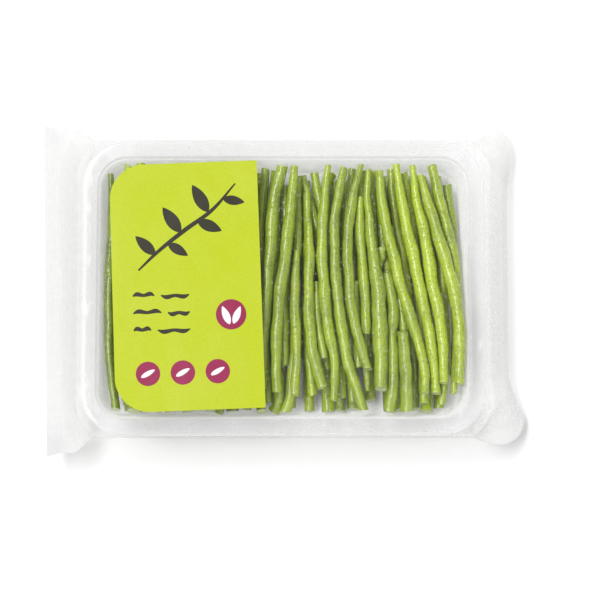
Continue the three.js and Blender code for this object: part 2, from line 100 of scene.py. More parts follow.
# as curveThrough, but each column never overshoots its own values
def easeThrough(rows, at):
    rows = np.asarray(rows, dtype=float)
    step = np.diff(rows, axis=0)
    both = step[:-1] * step[1:]
    middle = np.where(both > 0, 2 * both / np.where(both > 0, step[:-1] + step[1:], 1), 0)
    slope = np.vstack([step[:1], middle, step[-1:]])
    at = np.clip(at, 0, len(rows) - 1)
    i = np.minimum(at.astype(int), len(rows) - 2)
    t = (at - i)[:, None]
    return ((2 * t**3 - 3 * t**2 + 1) * rows[i] + (t**3 - 2 * t**2 + t) * slope[i]
            + (3 * t**2 - 2 * t**3) * rows[i + 1] + (t**3 - t**2) * slope[i + 1])


# links are pairs of an input socket and a socket or a value to give it
def setInputs(tree, node, links):
    for socket, source in links:
        if isinstance(source, bpy.types.NodeSocket):
            tree.links.new(source, node.inputs[socket])
        else:
            node.inputs[socket].default_value = source


def addNode(tree, kind, links=(), **settings):
    node = tree.nodes.new(kind)
    for key, value in settings.items():
        setattr(node, key, value)
    setInputs(tree, node, links)
    return node


def newMaterial(name):
    material = bpy.data.materials.new(name)
    material.use_nodes = True
    material.node_tree.nodes.clear()
    return material, material.node_tree


def mathNode(tree, operation, *values, clamp=False):
    links = [(i, value) for i, value in enumerate(values)]
    return addNode(tree, "ShaderNodeMath", links, operation=operation, use_clamp=clamp).outputs[0]


def mixColour(tree, factor, first, second, blend="MIX"):
    node = addNode(tree, "ShaderNodeMix", [(0, factor), (6, first), (7, second)],
                   data_type="RGBA", blend_type=blend)
    return node.outputs[2]


def rampNode(tree, source, stops):
    node = addNode(tree, "ShaderNodeValToRGB", [("Fac", source)])
    ramp = node.color_ramp
    while len(ramp.elements) < len(stops):
        ramp.elements.new(0.5)
    for element, (position, colour) in zip(ramp.elements, stops):
        element.position = position
        element.color = (*colour, 1) if len(colour) == 3 else colour
    return node.outputs["Color"]


def noiseNode(tree, vector, scale, detail=2, roughness=0.5):
    links = [("Vector", vector), ("Scale", scale), ("Detail", detail), ("Roughness", roughness)]
    return addNode(tree, "ShaderNodeTexNoise", links).outputs["Fac"]


def attributeNode(tree, name):
    return addNode(tree, "ShaderNodeAttribute", attribute_name=name).outputs["Fac"]


# object coordinates turned from metres to millimetres and stretched
def millimetres(tree, stretch=(1, 1, 1)):
    place = addNode(tree, "ShaderNodeTexCoord").outputs["Object"]
    scale = tuple(s / mm for s in stretch)
    return addNode(tree, "ShaderNodeMapping", [("Vector", place), ("Scale", scale)]).outputs[0]


# scattered round drops: cells of a voronoi pattern, kept at random, each with a soft round height
def makeDropsGroup():
    group = bpy.data.node_groups.new("drops", "ShaderNodeTree")
    face = group.interface
    face.new_socket(name="Vector", in_out="INPUT", socket_type="NodeSocketVector")
    for name, start in (("Scale", 1.0), ("Size", 0.3), ("Share", 0.5)):
        face.new_socket(name=name, in_out="INPUT", socket_type="NodeSocketFloat").default_value = start
    face.new_socket(name="Mask", in_out="OUTPUT", socket_type="NodeSocketFloat")
    source = group.nodes.new("NodeGroupInput").outputs
    cells = addNode(group, "ShaderNodeTexVoronoi", [
        ("Vector", source["Vector"]), ("Scale", source["Scale"])])
    pick = addNode(group, "ShaderNodeSeparateColor", [("Color", cells.outputs["Color"])]).outputs
    kept = mathNode(group, "LESS_THAN", pick[0], source["Share"])
    size = mathNode(group, "MULTIPLY", source["Size"], mathNode(group, "ADD", pick[1], 0.4))
    reach = mathNode(group, "DIVIDE", cells.outputs["Distance"], size)
    inside = mathNode(group, "SUBTRACT", 1.0, reach, clamp=True)
    dome = mathNode(group, "POWER", inside, 0.6)
    result = group.nodes.new("NodeGroupOutput")
    group.links.new(mathNode(group, "MULTIPLY", dome, kept), result.inputs["Mask"])
    return group


dropsGroup = makeDropsGroup()


def dropsNode(tree, vector, scale, size, share):
    node = tree.nodes.new("ShaderNodeGroup")
    node.node_tree = dropsGroup
    setInputs(tree, node, [("Vector", vector), ("Scale", scale), ("Size", size), ("Share", share)])
    return node.outputs["Mask"]


# a normal turned toward the vertical, up or down with the side it faces: haze scatters light inside a
# sheet, so a slope is lit almost like a flat one
def makeEvenGroup():
    group = bpy.data.node_groups.new("even_light", "ShaderNodeTree")
    group.interface.new_socket(name="Normal", in_out="INPUT", socket_type="NodeSocketVector")
    group.interface.new_socket(name="Normal", in_out="OUTPUT", socket_type="NodeSocketVector")
    normal = group.nodes.new("NodeGroupInput").outputs["Normal"]
    z = addNode(group, "ShaderNodeSeparateXYZ", [(0, normal)]).outputs["Z"]
    steep = mathNode(group, "MULTIPLY", z, 8.0)
    side = mathNode(group, "MINIMUM", mathNode(group, "MAXIMUM", steep, -1.0), 1.0)
    height = mathNode(group, "MULTIPLY", side, 1.2)
    lift = addNode(group, "ShaderNodeCombineXYZ", [("Z", height)]).outputs[0]
    turned = addNode(group, "ShaderNodeVectorMath", [(0, normal), (1, lift)], operation="ADD").outputs[0]
    unit = addNode(group, "ShaderNodeVectorMath", [(0, turned)], operation="NORMALIZE").outputs[0]
    result = group.nodes.new("NodeGroupOutput")
    group.links.new(unit, result.inputs["Normal"])
    return group


evenGroup = makeEvenGroup()


beanColours = {
    "deep": (0.115, 0.172, 0.008),
    "fresh": (0.30, 0.41, 0.013),
    "light": (0.45, 0.58, 0.018),
    "yellow": (0.50, 0.67, 0.010),
    "blemish": (0.44, 0.20, 0.11),
    "cut": (0.42, 0.53, 0.11),
    "pith": (0.52, 0.60, 0.22),
}


# bean skin: tone attribute picks the green, stretched noise gives streaks, fine noise breaks the shine
def makeBeanMaterial():
    material, tree = newMaterial("bean_skin")
    place = millimetres(tree)
    long = millimetres(tree, (1, 0.07, 1))
    tone = attributeNode(tree, "tone")
    cut = attributeNode(tree, "cutFace")
    core = attributeNode(tree, "cutCore")
    rib = attributeNode(tree, "rib")
    broad = noiseNode(tree, place, 0.06, 2)
    streak = noiseNode(tree, long, 1.1, 3)
    grain = noiseNode(tree, place, 1.35, 3, 0.65)
    mottle = noiseNode(tree, place, 0.95, 3, 0.65)
    blotch = noiseNode(tree, place, 0.42, 3, 0.55)
    level = tone
    for noise, amount in ((broad, 0.7), (streak, 0.5)):
        swing = mathNode(tree, "MULTIPLY", mathNode(tree, "SUBTRACT", noise, 0.5), amount)
        level = mathNode(tree, "ADD", level, swing)
    green = rampNode(tree, level, [(0.0, beanColours["deep"]), (0.4, beanColours["fresh"]),
                                   (0.7, beanColours["light"]), (1.0, beanColours["yellow"])])
    fine = rampNode(tree, grain, [(0.34, (0.68, 0.74, 0.60)), (0.66, (1.20, 1.16, 1.24))])
    green = mixColour(tree, 1.0, green, fine, "MULTIPLY")
    spotted = rampNode(tree, mottle, [
        (0.34, (0.70, 0.77, 0.68)), (0.50, (1, 1, 1)), (0.66, (1.16, 1.10, 1.15))])
    green = mixColour(tree, 1.0, green, spotted, "MULTIPLY")
    green = mixColour(tree, mathNode(tree, "MULTIPLY", rib, 0.35), green, (*beanColours["light"], 1))
    sore = mathNode(tree, "MULTIPLY", mathNode(tree, "GREATER_THAN", blotch, 0.725), 0.75)
    green = mixColour(tree, sore, green, (*beanColours["blemish"], 1))
    face = mixColour(tree, core, (*beanColours["cut"], 1), (*beanColours["pith"], 1))
    colour = mixColour(tree, cut, green, face)
    drops = dropsNode(tree, place, 1.5, 0.45, 0.45)
    rough = mathNode(tree, "ADD", 0.30, mathNode(tree, "MULTIPLY", grain, 0.16))
    height = drops
    for noise, amount in ((grain, 0.5), (streak, 0.35), (mottle, 0.35)):
        height = mathNode(tree, "ADD", height, mathNode(tree, "MULTIPLY", noise, amount))
    bump = addNode(tree, "ShaderNodeBump", [("Strength", 1.0), ("Distance", 0.00022), ("Height", height)])
    skin = addNode(tree, "ShaderNodeBsdfPrincipled", [
        ("Base Color", colour), ("Roughness", rough), ("Normal", bump.outputs[0]),
        ("Specular IOR Level", 0.5), ("Coat Weight", 1.0), ("Coat Roughness", 0.10),
        ("Coat Normal", bump.outputs[0])])
    addNode(tree, "ShaderNodeOutputMaterial", [("Surface", skin.outputs[0])])
    return material


clearFinish = {
    "gloss": 0.5,         # share of the fresnel mirror
    "mirrorCap": 0.14,
    "passed": 0.35,       # share of the haze's light that comes through from behind
}


# clear sheet: see-through, with a weak mirror by fresnel and a pale haze that grows where the sheet is
# seen edge on; light on its way to other things meets only the shade share of both; the glow is painted
# light, an emission that only the camera sees where the sheet is hazy, as far as the lit attribute lets it
def finishClear(tree, haze, normal, milkColour, rough, edge, paintedGlow):
    shade = attributeNode(tree, "shade")
    seen = addNode(tree, "ShaderNodeLightPath").outputs["Is Camera Ray"]
    free = mathNode(tree, "MAXIMUM", shade, seen)
    # painted light: the emission below shows to camera rays only and lights nothing else
    lit = mathNode(tree, "MULTIPLY", seen, attributeNode(tree, "lit"))
    weight = addNode(tree, "ShaderNodeLayerWeight", [("Blend", 0.5), ("Normal", normal)])
    grazing = mathNode(tree, "POWER", weight.outputs["Facing"], 2.0)
    edgeOn = mathNode(tree, "ADD", 1.0, mathNode(tree, "MULTIPLY", grazing, edge))
    haze = mathNode(tree, "MULTIPLY", mathNode(tree, "MULTIPLY", haze, edgeOn), free, clamp=True)
    through = addNode(tree, "ShaderNodeBsdfTransparent", [("Color", (0.998, 0.998, 0.998, 1))])
    mirror = addNode(tree, "ShaderNodeBsdfGlossy", [
        ("Color", (1, 1, 1, 1)), ("Roughness", rough), ("Normal", normal)])
    fresnel = addNode(tree, "ShaderNodeFresnel", [("IOR", 1.45), ("Normal", normal)]).outputs[0]
    weak = mathNode(tree, "MULTIPLY", fresnel, clearFinish["gloss"])
    capped = mathNode(tree, "MINIMUM", weak, clearFinish["mirrorCap"])
    amount = mathNode(tree, "MULTIPLY", capped, free)
    clear = addNode(tree, "ShaderNodeMixShader", [
        (0, amount), (1, through.outputs[0]), (2, mirror.outputs[0])])
    even = addNode(tree, "ShaderNodeGroup", node_tree=evenGroup)
    tree.links.new(normal, even.inputs["Normal"])
    front = addNode(tree, "ShaderNodeBsdfPrincipled", [
        ("Base Color", milkColour), ("Roughness", 1.0), ("Specular IOR Level", 0.0),
        ("Emission Color", lit), ("Emission Strength", paintedGlow), ("Normal", even.outputs[0])])
    behind = addNode(tree, "ShaderNodeBsdfTranslucent", [
        ("Color", milkColour), ("Normal", even.outputs[0])])
    milk = addNode(tree, "ShaderNodeMixShader", [
        (0, clearFinish["passed"]), (1, front.outputs[0]), (2, behind.outputs[0])])
    mixed = addNode(tree, "ShaderNodeMixShader", [(0, haze), (1, clear.outputs[0]), (2, milk.outputs[0])])
    addNode(tree, "ShaderNodeOutputMaterial", [("Surface", mixed.outputs[0])])


filmFinish = {
    "milk": (0.83, 0.83, 0.825, 1),
    "pressedMilk": (0.62, 0.62, 0.62, 1),
    "glintWhite": (1, 1, 1, 1),
    "rough": 0.14,
    "edge": 0.4,
    "paintedGlow": 0.15,
}


# film: wrinkle noise in the bump, ridges where the crimp attribute says, pressed dots on the dotted band,
# mist drops over the beans and beads of water in one corner drawn as white spots, painted glints
def makeFilmMaterial():
    material, tree = newMaterial("clear_film")
    place = millimetres(tree)
    haze = attributeNode(tree, "haze")
    crimp = attributeNode(tree, "crimp")
    dotted = attributeNode(tree, "dotted")
    mist = attributeNode(tree, "mist")
    soft = noiseNode(tree, place, 0.05, 2)
    crinkle = noiseNode(tree, place, 0.35, 4, 0.6)
    ridge = addNode(tree, "ShaderNodeTexWave", [
        ("Vector", place), ("Scale", 0.28), ("Distortion", 0.6), ("Detail", 2.0)],
        wave_type="BANDS", bands_direction="X").outputs["Fac"]
    dots = dropsNode(tree, place, 1.5, 0.5, 0.75)
    drops = dropsNode(tree, place, 0.95, 0.33, mathNode(tree, "MULTIPLY", mist, 0.35))
    ridges = mathNode(tree, "MULTIPLY", mathNode(tree, "MULTIPLY", ridge, 0.3), crimp)
    dimples = mathNode(tree, "MULTIPLY", mathNode(tree, "MULTIPLY", dots, 0.35), dotted)
    press = mathNode(tree, "ADD", ridges, dimples)
    height = press
    for noise, amount in ((soft, 1.6), (crinkle, 0.35)):
        height = mathNode(tree, "ADD", height, mathNode(tree, "MULTIPLY", noise, amount))
    bump = addNode(tree, "ShaderNodeBump", [("Strength", 0.6), ("Distance", 0.0005), ("Height", height)])
    uneven = mathNode(tree, "ADD", 0.85, mathNode(tree, "MULTIPLY", crinkle, 0.3))
    cloudy = mathNode(tree, "MULTIPLY", haze, uneven)
    for mark, amount in ((press, 0.25), (drops, 0.4)):
        cloudy = mathNode(tree, "ADD", cloudy, mathNode(tree, "MULTIPLY", mark, amount))
    # the white spots on the water beads are painted glints
    beadShare = mathNode(tree, "MULTIPLY", attributeNode(tree, "beadGlints"), 0.45)
    beadGlints = dropsNode(tree, place, 1.1, 0.4, beadShare)
    cloudy = mathNode(tree, "ADD", cloudy, beadGlints, clamp=True)
    f = filmFinish
    milk = mixColour(tree, crimp, f["milk"], f["pressedMilk"])
    milk = mixColour(tree, beadGlints, milk, f["glintWhite"])
    material.cycles.emission_sampling = "NONE"
    finishClear(tree, cloudy, bump.outputs[0], milk, f["rough"], f["edge"], f["paintedGlow"])
    return material


trayFinish = {
    "milk": (0.95, 0.95, 0.955, 1),
    "rough": 0.12,
    "edge": 4.4,
    "paintedGlow": 0.20,
}


# tray: a stiffer clear sheet with faint flow lines and mist drops on the floor
def makeTrayMaterial():
    material, tree = newMaterial("clear_tray")
    place = millimetres(tree)
    haze = attributeNode(tree, "haze")
    mist = attributeNode(tree, "mist")
    flow = noiseNode(tree, millimetres(tree, (0.05, 1, 1)), 0.5, 3)
    soft = noiseNode(tree, place, 0.12, 2)
    drops = dropsNode(tree, place, 0.9, 0.34, mathNode(tree, "MULTIPLY", mist, 0.6))
    lines = mathNode(tree, "MULTIPLY", flow, 0.3)
    height = mathNode(tree, "ADD", lines, mathNode(tree, "MULTIPLY", soft, 0.8))
    bump = addNode(tree, "ShaderNodeBump", [("Strength", 0.5), ("Distance", 0.0005), ("Height", height)])
    uneven = mathNode(tree, "ADD", 0.7, mathNode(tree, "MULTIPLY", soft, 0.6))
    cloudy = mathNode(tree, "MULTIPLY", haze, uneven)
    cloudy = mathNode(tree, "ADD", cloudy, mathNode(tree, "MULTIPLY", drops, 0.35), clamp=True)
    material.cycles.emission_sampling = "NONE"
    f = trayFinish
    finishClear(tree, cloudy, bump.outputs[0], f["milk"], f["rough"], f["edge"], f["paintedGlow"])
    return material


# printed sheet: one ink colour with faint lighter patches of painted sheen where it waves, satin, lightly
# waved like the film under it
def makeInkMaterial(name, colour, paintedSheen):
    material, tree = newMaterial(name)
    place = millimetres(tree)
    soft = noiseNode(tree, place, 0.035, 2)
    grain = noiseNode(tree, place, 1.5, 2)
    amount = rampNode(tree, soft, [(0.35, (0, 0, 0)), (0.75, (1, 1, 1))])
    # the lighter patches follow the same noise as the waves: painted sheen
    ink = mixColour(tree, mathNode(tree, "MULTIPLY", amount, 0.5), (*colour, 1), (*paintedSheen, 1))
    speck = rampNode(tree, grain, [(0.35, (0.95, 0.95, 0.95)), (0.65, (1.03, 1.03, 1.03))])
    ink = mixColour(tree, 1.0, ink, speck, "MULTIPLY")
    broad = mathNode(tree, "MULTIPLY", soft, 2.5)
    wave = mathNode(tree, "ADD", broad, mathNode(tree, "MULTIPLY", grain, 0.06))
    bump = addNode(tree, "ShaderNodeBump", [("Strength", 0.6), ("Distance", 0.0006), ("Height", wave)])
    sheet = addNode(tree, "ShaderNodeBsdfPrincipled", [
        ("Base Color", ink), ("Roughness", 0.34), ("Specular IOR Level", 0.3), ("Normal", bump.outputs[0])])
    addNode(tree, "ShaderNodeOutputMaterial", [("Surface", sheet.outputs[0])])
    return material


def makeFloorMaterial():
    material, tree = newMaterial("studio_floor")
    place = millimetres(tree)
    grain = noiseNode(tree, place, 0.02, 2)
    tint = rampNode(tree, grain, [(0.3, (0.895, 0.895, 0.895)), (0.7, (0.905, 0.905, 0.905))])
    paper = addNode(tree, "ShaderNodeBsdfPrincipled", [
        ("Base Color", tint), ("Roughness", 0.9), ("Specular IOR Level", 0.1)])
    addNode(tree, "ShaderNodeOutputMaterial", [("Surface", paper.outputs[0])])
    return material


beanMaterial = makeBeanMaterial()
filmMaterial = makeFilmMaterial()
trayMaterial = makeTrayMaterial()
labelMaterial = makeInkMaterial("label_lime", (0.49, 0.585, 0.005), (0.52, 0.60, 0.04))
spotMaterial = makeInkMaterial("label_plum", (0.30, 0.012, 0.07), (0.36, 0.028, 0.11))
darkMaterial = makeInkMaterial("label_olive", (0.022, 0.020, 0.008), (0.04, 0.035, 0.015))
whiteMaterial = makeInkMaterial("label_white", (0.85, 0.84, 0.84), (0.9, 0.9, 0.9))
report("materials")


beanShape = {
    "around": 24,
    "along": 70,
    "wander": 0.14,       # mm that the centre line strays
    "swell": 0.09,        # share of the radius that seeds add
    "oval": 0.035,
    "cutTilt": 0.30,      # steepest slope of a cut end
    "cutDepth": 0.10,     # share of the radius that its middle is hollow
    "roundStem": ("bean_04",),
    "roundTail": ("bean_19",),
}


# the CAD bean's rings, told apart by their place along Y: centres (n, 3) and radii (n,) in mm
def readRings(name):
    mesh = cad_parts[name].data
    flat = np.empty(len(mesh.vertices) * 3)
    mesh.vertices.foreach_get("co", flat)
    points = np.unique(np.round(flat.reshape(-1, 3) / mm, 2), axis=0)
    points = points[np.argsort(-points[:, 1])]
    rings = np.split(points, np.where(-np.diff(points[:, 1]) > 3)[0] + 1)
    centres = np.array([ring.mean(0) for ring in rings])
    radii = np.array([np.linalg.norm(ring - ring.mean(0), axis=1).mean() for ring in rings])
    return centres, radii


# a bean: rings round the curve through the given centres, each radius times one plus slow waves for the
# seeds and an oval term; the end rings lean to a cut plane and close over a slightly hollow face
def makeBean(name, index, centres, radii, tone, replaced=()):
    rng = np.random.default_rng(400 + index)
    shape = beanShape
    count = shape["along"]
    reached = np.concatenate([[0], np.cumsum(np.linalg.norm(np.diff(centres, axis=0), axis=1))])
    edge = np.array([0.0, 0.35, 0.8])
    inside = np.linspace(1.3, reached[-1] - 1.3, count - 2 * len(edge))
    places = np.concatenate([edge, inside, reached[-1] - edge[::-1]])
    at = np.interp(places, reached, np.arange(len(centres)))
    line = curveThrough(centres, at)
    radius = curveThrough(radii[:, None], at)[:, 0]
    travel = np.concatenate([[0], np.cumsum(np.linalg.norm(np.diff(line, axis=0), axis=1))])
    total = travel[-1]
    inner = np.clip(np.minimum(travel, total - travel) / 12, 0, 1)
    for axis in (0, 2):
        for wave in (rng.uniform(16, 24), rng.uniform(28, 44)):
            swing = np.sin(travel * 2 * np.pi / wave + rng.uniform(0, 6.3))
            line[:, axis] += shape["wander"] * inner * swing
    seeds = np.sin(travel * 2 * np.pi / rng.uniform(8, 11) + rng.uniform(0, 6.3))
    slow = np.sin(travel * 2 * np.pi / rng.uniform(17, 26) + rng.uniform(0, 6.3))
    radius = radius * (0.985 + shape["swell"] * (0.5 * seeds * rng.uniform(0.3, 1) + 0.5 * slow))
    if name in shape["roundStem"]:
        radius *= np.sqrt(np.clip(1 - (1 - np.clip(travel / 3.5, 0, 1)) ** 2, 0.02, 1))
    if name in shape["roundTail"]:
        radius *= np.sqrt(np.clip(1 - (1 - np.clip((total - travel) / 5, 0, 1)) ** 2, 0.02, 1))
    heading = np.gradient(line, axis=0)
    heading /= np.linalg.norm(heading, axis=1, keepdims=True)
    side = np.cross([0, 0, 1], heading)
    side /= np.linalg.norm(side, axis=1, keepdims=True)
    up = np.cross(heading, side)
    size = shape["around"]
    angle = np.linspace(0, 2 * np.pi, size, endpoint=False)
    turn = rng.uniform(0, 6.3) + travel * rng.uniform(-0.012, 0.012)
    oval = 1 + shape["oval"] * (np.cos(2 * (angle[None, :] - turn[:, None])) - 1)
    reach = radius[:, None] * oval
    outX = np.cos(angle)[None, :, None] * side[:, None, :]
    outZ = np.sin(angle)[None, :, None] * up[:, None, :]
    rings = line[:, None, :] + reach[:, :, None] * (outX + outZ)
    rib = 0.5 + 0.5 * np.cos(3 * (angle[None, :] - turn[:, None]))
    rib = np.clip(rib, 0, 1) ** 4

    skin = np.zeros((count, size))
    parts, cutFace, cutCore, ribs = [rings], [skin], [skin], [rib]
    for end, inward in ((0, 1), (-1, -1)):
        lean = rng.uniform(-1, 1, 2) * shape["cutTilt"]
        slope = np.cos(angle) * lean[0] + np.sin(angle) * lean[1]
        for step, fade in enumerate((1, 2 / 3, 1 / 3)):
            row = step if end == 0 else count - 1 - step
            rings[row] += fade * (slope * radius[row])[:, None] * heading[row] * inward
        faceRings = []
        for share in (0.93, 0.8, 0.55, 0.25):
            sunk = inward * shape["cutDepth"] * (1 - share) * radius[end] * heading[end]
            faceRings.append(line[end] + share * (rings[end] - line[end]) + sunk)
        faceRings = np.array(faceRings)
        core = np.array([0.0, 0.4, 1.0, 0.8])[:, None] * np.ones(size)
        if end == 0:
            parts.insert(0, faceRings[::-1])
            cutFace.insert(0, np.ones((4, size)))
            cutCore.insert(0, core[::-1])
            ribs.insert(0, np.zeros((4, size)))
        else:
            parts.append(faceRings)
            cutFace.append(np.ones((4, size)))
            cutCore.append(core)
            ribs.append(np.zeros((4, size)))
    grid = np.concatenate(parts)
    points = np.concatenate([grid.reshape(-1, 3), [grid[0].mean(0)], [grid[-1].mean(0)]])
    rows = len(grid)
    quads = ringFaces(rows, size).tolist()
    firstHub, lastHub = rows * size, rows * size + 1
    spin = [(i, (i + 1) % size) for i in range(size)]
    quads += [(firstHub, b, a) for a, b in spin]
    quads += [(lastHub, (rows - 1) * size + a, (rows - 1) * size + b) for a, b in spin]

    def perPoint(blocks, hub):
        return np.concatenate([np.concatenate(blocks).ravel(), [hub, hub]])

    values = {
        "tone": np.full(len(points), tone),
        "cutFace": perPoint(cutFace, 1.0),
        "cutCore": perPoint(cutCore, 0.8),
        "rib": perPoint(ribs, 0.0),
    }
    return addPiece(name + "_skin", points, quads, beanMaterial, replaced, values, 55)


fillShape = {
    "tries": 300,
    "radius": (2.5, 3.3),
    "thinnest": 2.0,
    "gap": 0.12,
    "step": 4.0,          # mm between the stations along Y
    "endY": 56.3,
    "halfX": 81.5,
    "low": 1.9,           # mm, top of the tray's floor
    "high": 22.5,
    "shortest": 36.0,
    "rounds": 90,
}


# a bean's centre and radius where it crosses each station's plane, far away past its ends
def crossings(centres, radii, stations):
    order = np.argsort(centres[:, 1])
    y = centres[order, 1]
    kept = (centres[:, 0], centres[:, 2], radii)
    rows = np.array([np.interp(stations, y, values[order]) for values in kept])
    beyond = (stations < y[0] - 2) | (stations > y[-1] + 2)
    rows[0, beyond] = 1e3
    return rows


# beans in the room that is left: a seeded line is pushed off its neighbours station by station and
# smoothed, and the longest stretch where it is thick enough becomes a bean
def fillBeans(taken):
    s = fillShape
    rng = np.random.default_rng(23)
    stations = np.arange(-s["endY"], s["endY"] + 0.1, s["step"])
    others = [crossings(centres, radii, stations) for centres, radii in taken]
    made = []
    for attempt in range(s["tries"]):
        thick = rng.uniform(*s["radius"])
        startX = rng.uniform(-78, 78)
        x = startX + np.linspace(0, rng.normal(0, 4), len(stations))
        z = np.full(len(stations), rng.uniform(s["low"] + thick, s["high"] - thick))
        blocks = np.array(others)
        near = np.abs(blocks[:, 0] - startX).min(axis=1) < 22
        blocks = blocks[near]
        for turn in range(s["rounds"]):
            awayX = x - blocks[:, 0]
            awayZ = z - blocks[:, 1]
            distance = np.maximum(np.hypot(awayX, awayZ), 1e-3)
            push = np.clip(blocks[:, 2] + thick + s["gap"] - distance, 0, 1.5) / distance
            x = x + 0.5 * (push * awayX).sum(axis=0)
            z = z + 0.5 * (push * awayZ).sum(axis=0)
            for row in (x, z):
                row[1:-1] += 0.3 * (0.5 * (row[:-2] + row[2:]) - row[1:-1])
            x = np.clip(x, -s["halfX"] + thick, s["halfX"] - thick)
            z = np.clip(z, s["low"] + thick + 0.1, s["high"] - thick)
        distance = np.hypot(x - blocks[:, 0], z - blocks[:, 1])
        room = (distance - blocks[:, 2]).min(axis=0) - s["gap"]
        radius = np.minimum(thick, room)
        edges = np.flatnonzero(np.diff(np.concatenate([[0], radius > s["thinnest"], [0]])))
        starts, stops = edges[::2], edges[1::2]
        if len(starts) == 0:
            continue
        best = np.argmax(stops - starts)
        first, last = starts[best], stops[best]
        if (last - first - 1) * s["step"] < s["shortest"]:
            continue
        part = slice(first, last)
        centres = np.stack([x[part], stations[part], z[part]], axis=1)[::-1]
        bean = (centres, radius[part][::-1])
        made.append(bean)
        others.append(crossings(*bean, stations))
    return made


# greens of the visible beans, left to right along the bundle, then the hidden ones
seenTones = [0.30, 0.42, 0.40, 0.46, 0.50, 0.42, 0.36, 0.42, 0.56, 0.70, 0.74, 0.54, 0.50,
             0.34, 0.34, 0.40, 0.45, 0.42, 0.45, 0.50, 0.48, 0.42, 0.50, 0.55, 0.40, 0.42, 0.35, 0.05]
beanNames = sorted(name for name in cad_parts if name.startswith("bean_"))
toneDraw = np.random.default_rng(7)
taken = [readRings(name) for name in beanNames]
fills = fillBeans(taken)
beanTones = seenTones + list(toneDraw.uniform(0.25, 0.55, len(taken) + len(fills) - len(seenTones)))
for index, name in enumerate(beanNames):
    makeBean(name, index, *taken[index], beanTones[index], (name,))
for k, fill in enumerate(fills):
    index = len(taken) + k
    makeBean(f"fill_bean_{k + 1:02d}", index, *fill, beanTones[index])
report(f"beans, {len(fills)} of them fill beans")


trayShape = {
    "rimHalf": (93.5, 68.5),
    "openingHalf": (85.9, 60.9),
    "ledgeHalf": (84.9, 59.9),
    "floorHalf": (82.3, 57.3),
    "rimCorner": 21.0,
    "openingCorner": 13.4,
    "ledgeCorner": 12.4,
    "floorCorner": 9.8,
    "wall": 0.6,
    "baseZ": 0.6,
    "rimZ": 24.6,
    "ledgeZ": 21.6,
    "lip": 2.0,
    "cornerSteps": 14,
    "haze": 0.2,
    "floorHaze": 0.45,    # added on the floor near the walls, and 0.3 of it elsewhere on the floor
    "rimHaze": -0.03,
    "paintedLipHighlight": 0.15,
    "softest": 0.7,       # mm of each leg that a bend takes
}


# a rounded rectangle of given half sizes, corner radius and height, as a loop of points
def roundedLoop(halfX, halfY, corner, z, steps):
    angle = np.linspace(0, np.pi / 2, steps)
    quarters = []
    for k, (sx, sy) in enumerate(((1, 1), (-1, 1), (-1, -1), (1, -1))):
        turned = angle + k * np.pi / 2
        quarters.append(np.stack([sx * (halfX - corner) + corner * np.cos(turned),
                                  sy * (halfY - corner) + corner * np.sin(turned),
                                  np.full(steps, z)], axis=1))
        nextX, nextY = ((-1, 1), (-1, -1), (1, -1), (1, 1))[k]
        start = quarters[-1][-1]
        finishAngle = (k + 1) * np.pi / 2
        finish = np.array([nextX * (halfX - corner) + corner * np.cos(finishAngle),
                           nextY * (halfY - corner) + corner * np.sin(finishAngle), z])
        between = np.linspace(0, 1, 8)[1:-1, None]
        quarters.append(start + (finish - start) * between)
    return np.concatenate(quarters)


# how much of the haze light meets on its way: little on the side of the key, more away from it, and
# more than all at the front, where the shadow beside the pack is deepest
def shadeShare(x, y):
    front = np.clip((-y - 58) / 6, 0, 1) * np.clip((x + 100) / 40, 0.3, 1)
    return 0.2 + 0.25 * np.clip((x - 70) / 20, 0, 1) + 1.3 * front


